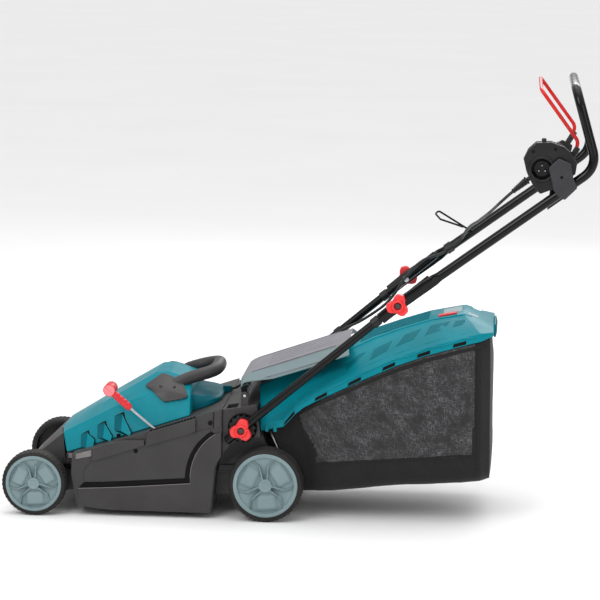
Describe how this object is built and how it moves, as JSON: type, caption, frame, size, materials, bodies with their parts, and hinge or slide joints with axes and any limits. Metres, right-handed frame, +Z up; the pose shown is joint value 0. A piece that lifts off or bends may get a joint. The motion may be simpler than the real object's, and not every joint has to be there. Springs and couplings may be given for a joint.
{
  "type": "rotary lawn mower",
  "caption": "Corded electric rotary lawn mower: plastic deck and motor hood, rear fabric grass catcher, folding tube handle with switch bail, cutting height lever.",
  "frame": {"origin": "middle of the mower's overall box, on the ground under the wheels", "axes": "+Z up, +X rearwards to the handle, +Y to the side away from the height lever"},
  "size_m": [1.2584, 0.4434, 0.9536],
  "materials": {
    "deck_plastic": "fine-grained dark grey moulding",
    "hood_plastic": "satin teal moulding",
    "grey_plastic": "fine-grained mid grey moulding",
    "red_plastic": "glossy red moulding",
    "black_plastic": "fine-grained black moulding",
    "tyre_rubber": "moulded tread",
    "black_paint": "glossy black powder coat",
    "red_paint": "glossy red powder coat",
    "steel": "zinc plated",
    "blade_steel": "dark oiled steel",
    "motor_metal": "die cast",
    "bag_fabric": "woven mesh with solid bands",
    "cable_rubber": "matt sheath",
    "cover_plastic": "dark grey moulding"
  },
  "bodies": {
    "chassis": {"deck_shell": "deck_plastic", "nose_panel": "deck_plastic", "motor_hood": "hood_plastic", "carry_handle": "deck_plastic", "motor_can": "motor_metal", "motor_end_bell": "motor_metal", "flap_pin": "steel", "flap_spring_left": "steel", "flap_spring_right": "steel", "low_bolt_left": "steel", "low_bolt_right": "steel", "cable_lower": "cable_rubber"},
    "front_axle": {"front_axle": "steel"},
    "rear_axle": {"rear_axle": "steel"},
    "link": {"link_rod": "steel"},
    "height_lever": {"height_lever_rod": "steel", "height_lever_grip": "red_plastic"},
    "cutter": {"motor_shaft": "steel", "armature": "steel", "cooling_fan": "black_plastic", "blade_hub": "black_plastic", "blade": "blade_steel", "blade_bolt": "steel"},
    "flap": {"rear_flap": "grey_plastic"},
    "catcher": {"catcher_lid": "hood_plastic", "catcher_bag": "bag_fabric", "catcher_frame": "steel"},
    "level_flag": {"level_flag": "red_plastic"},
    "lower_handle": {"lower_tube_left": "black_paint", "lower_tube_right": "black_paint", "pivot_disc_left": "black_plastic", "pivot_disc_right": "black_plastic", "mid_bolt_left": "steel", "mid_bolt_right": "steel", "cable_middle": "cable_rubber", "cable_clip_lower": "black_plastic"},
    "upper_handle": {"upper_handle": "black_paint", "switch_box": "black_plastic", "switch_cover": "cover_plastic", "plug_inlet": "black_plastic", "bail_bracket": "black_plastic", "strain_relief": "black_plastic", "cable_upper": "cable_rubber", "cable_clip_upper": "black_plastic", "cord_hook": "steel"},
    "bail": {"bail_lever": "red_paint"},
    "lock_button": {"lock_button": "black_plastic"},
    "front_left_wheel": {"front_left_tyre": "tyre_rubber", "front_left_hub": "grey_plastic"},
    "front_right_wheel": {"front_right_tyre": "tyre_rubber", "front_right_hub": "grey_plastic"},
    "rear_left_wheel": {"rear_left_tyre": "tyre_rubber", "rear_left_hub": "grey_plastic"},
    "rear_right_wheel": {"rear_right_tyre": "tyre_rubber", "rear_right_hub": "grey_plastic"},
    "low_knob_left": {"low_knob_left": "red_plastic"},
    "low_knob_right": {"low_knob_right": "red_plastic"},
    "mid_knob_left": {"mid_knob_left": "red_plastic"},
    "mid_knob_right": {"mid_knob_right": "red_plastic"}
  },
  "joints": [
    {"name": "front_axle_turn", "type": "hinge", "parent": "chassis", "child": "front_axle", "pos_m": [-0.5229, 0, 0.0531], "axis": [0, 1, 0], "range_deg": [-50, 0]},
    {"name": "rear_axle_turn", "type": "hinge", "parent": "chassis", "child": "rear_axle", "pos_m": [-0.0229, 0, 0.06309], "axis": [0, 1, 0], "range_deg": [-50, 0]},
    {"name": "link_turn", "type": "hinge", "parent": "front_axle", "child": "link", "pos_m": [-0.50177, 0, 0.09841], "axis": [0, 1, 0], "range_deg": [0, 50]},
    {"name": "height_lever_turn", "type": "hinge", "parent": "chassis", "child": "height_lever", "pos_m": [-0.20916, -0.166, 0.145], "axis": [0, 1, 0], "range_deg": [0, 57]},
    {"name": "blade_spin", "type": "hinge", "parent": "chassis", "child": "cutter", "pos_m": [-0.32416, 0, 0.034], "axis": [0, 0, 1], "continuous": true},
    {"name": "flap_lift", "type": "hinge", "parent": "chassis", "child": "flap", "pos_m": [-0.10816, 0, 0.268], "axis": [0, -1, 0], "range_deg": [0, 70], "stiffness_Nm_per_rad": 0.3, "springref_deg": -28.65},
    {"name": "catcher_lift_off", "type": "slide", "parent": "chassis", "child": "catcher", "axis": [0.9848, 0, 0.1736], "range_m": [0, 0.3]},
    {"name": "level_flag_lift", "type": "hinge", "parent": "catcher", "child": "level_flag", "pos_m": [0.29884, -0.041, 0.4317], "axis": [0, -1, 0], "range_deg": [0, 60]},
    {"name": "lower_handle_fold", "type": "hinge", "parent": "chassis", "child": "lower_handle", "pos_m": [-0.11116, 0, 0.2], "axis": [0, -1, 0], "range_deg": [0, 88]},
    {"name": "upper_handle_fold", "type": "hinge", "parent": "lower_handle", "child": "upper_handle", "pos_m": [0.21784, 0, 0.478], "axis": [0, -1, 0], "range_deg": [0, 90]},
    {"name": "bail_squeeze", "type": "hinge", "parent": "upper_handle", "child": "bail", "pos_m": [0.55884, 0, 0.772], "axis": [0, 1, 0], "range_deg": [0, 18], "stiffness_Nm_per_rad": 0.6, "springref_deg": -28.65},
    {"name": "lock_button_press", "type": "slide", "parent": "upper_handle", "child": "lock_button", "axis": [0, 0, -1], "range_m": [0, 0.005], "stiffness_N_per_m": 150, "springref_m": -0.004},
    {"name": "front_left_wheel_roll", "type": "hinge", "parent": "front_axle", "child": "front_left_wheel", "pos_m": [-0.55916, -0.18, 0.07], "axis": [0, 1, 0], "continuous": true},
    {"name": "front_right_wheel_roll", "type": "hinge", "parent": "front_axle", "child": "front_right_wheel", "pos_m": [-0.55916, 0.18, 0.07], "axis": [0, 1, 0], "continuous": true},
    {"name": "rear_left_wheel_roll", "type": "hinge", "parent": "rear_axle", "child": "rear_left_wheel", "pos_m": [-0.05916, -0.18, 0.08], "axis": [0, 1, 0], "continuous": true},
    {"name": "rear_right_wheel_roll", "type": "hinge", "parent": "rear_axle", "child": "rear_right_wheel", "pos_m": [-0.05916, 0.18, 0.08], "axis": [0, 1, 0], "continuous": true},
    {"name": "low_knob_left_turn", "type": "hinge", "parent": "chassis", "child": "low_knob_left", "pos_m": [-0.11116, -0.203, 0.2], "axis": [0, 1, 0], "continuous": true},
    {"name": "low_knob_right_turn", "type": "hinge", "parent": "chassis", "child": "low_knob_right", "pos_m": [-0.11116, 0.203, 0.2], "axis": [0, 1, 0], "continuous": true},
    {"name": "mid_knob_left_turn", "type": "hinge", "parent": "lower_handle", "child": "mid_knob_left", "pos_m": [0.21784, -0.21, 0.478], "axis": [0, 1, 0], "continuous": true},
    {"name": "mid_knob_right_turn", "type": "hinge", "parent": "lower_handle", "child": "mid_knob_right", "pos_m": [0.21784, 0.21, 0.478], "axis": [0, 1, 0], "continuous": true}
  ],
  "couplings": [
    {"joint": "front_axle_turn", "follows": "height_lever_turn", "ratio": -0.87719},
    {"joint": "rear_axle_turn", "follows": "height_lever_turn", "ratio": -0.87719},
    {"joint": "link_turn", "follows": "height_lever_turn", "ratio": 0.87719}
  ]
}
